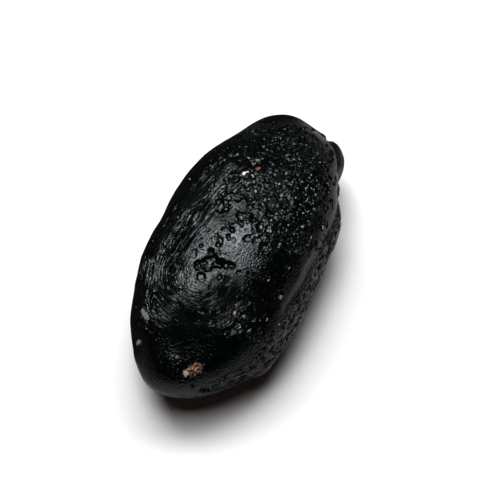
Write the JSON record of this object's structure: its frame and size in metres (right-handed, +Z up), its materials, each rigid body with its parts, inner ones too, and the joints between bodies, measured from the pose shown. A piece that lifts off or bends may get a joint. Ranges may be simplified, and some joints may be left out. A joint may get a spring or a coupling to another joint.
{
  "type": "indochinite tektite",
  "caption": "Long flattened drop of black natural glass with a small ear at one end, flow ridges and burst bubble pits, resting on a worn flat.",
  "frame": {"origin": "the middle of the stone's outer box, on the worn flat underneath", "axes": "+X along the stone towards its eared end, +Y across it away from the ear's side, +Z up"},
  "size_m": [0.06, 0.0312, 0.025],
  "materials": {
    "tektite_glass": "black natural glass, satin from natural etching, with shinier pits and a trace of reddish clay"
  },
  "bodies": {
    "root": {"tektite": "tektite_glass"}
  },
  "joints": []
}
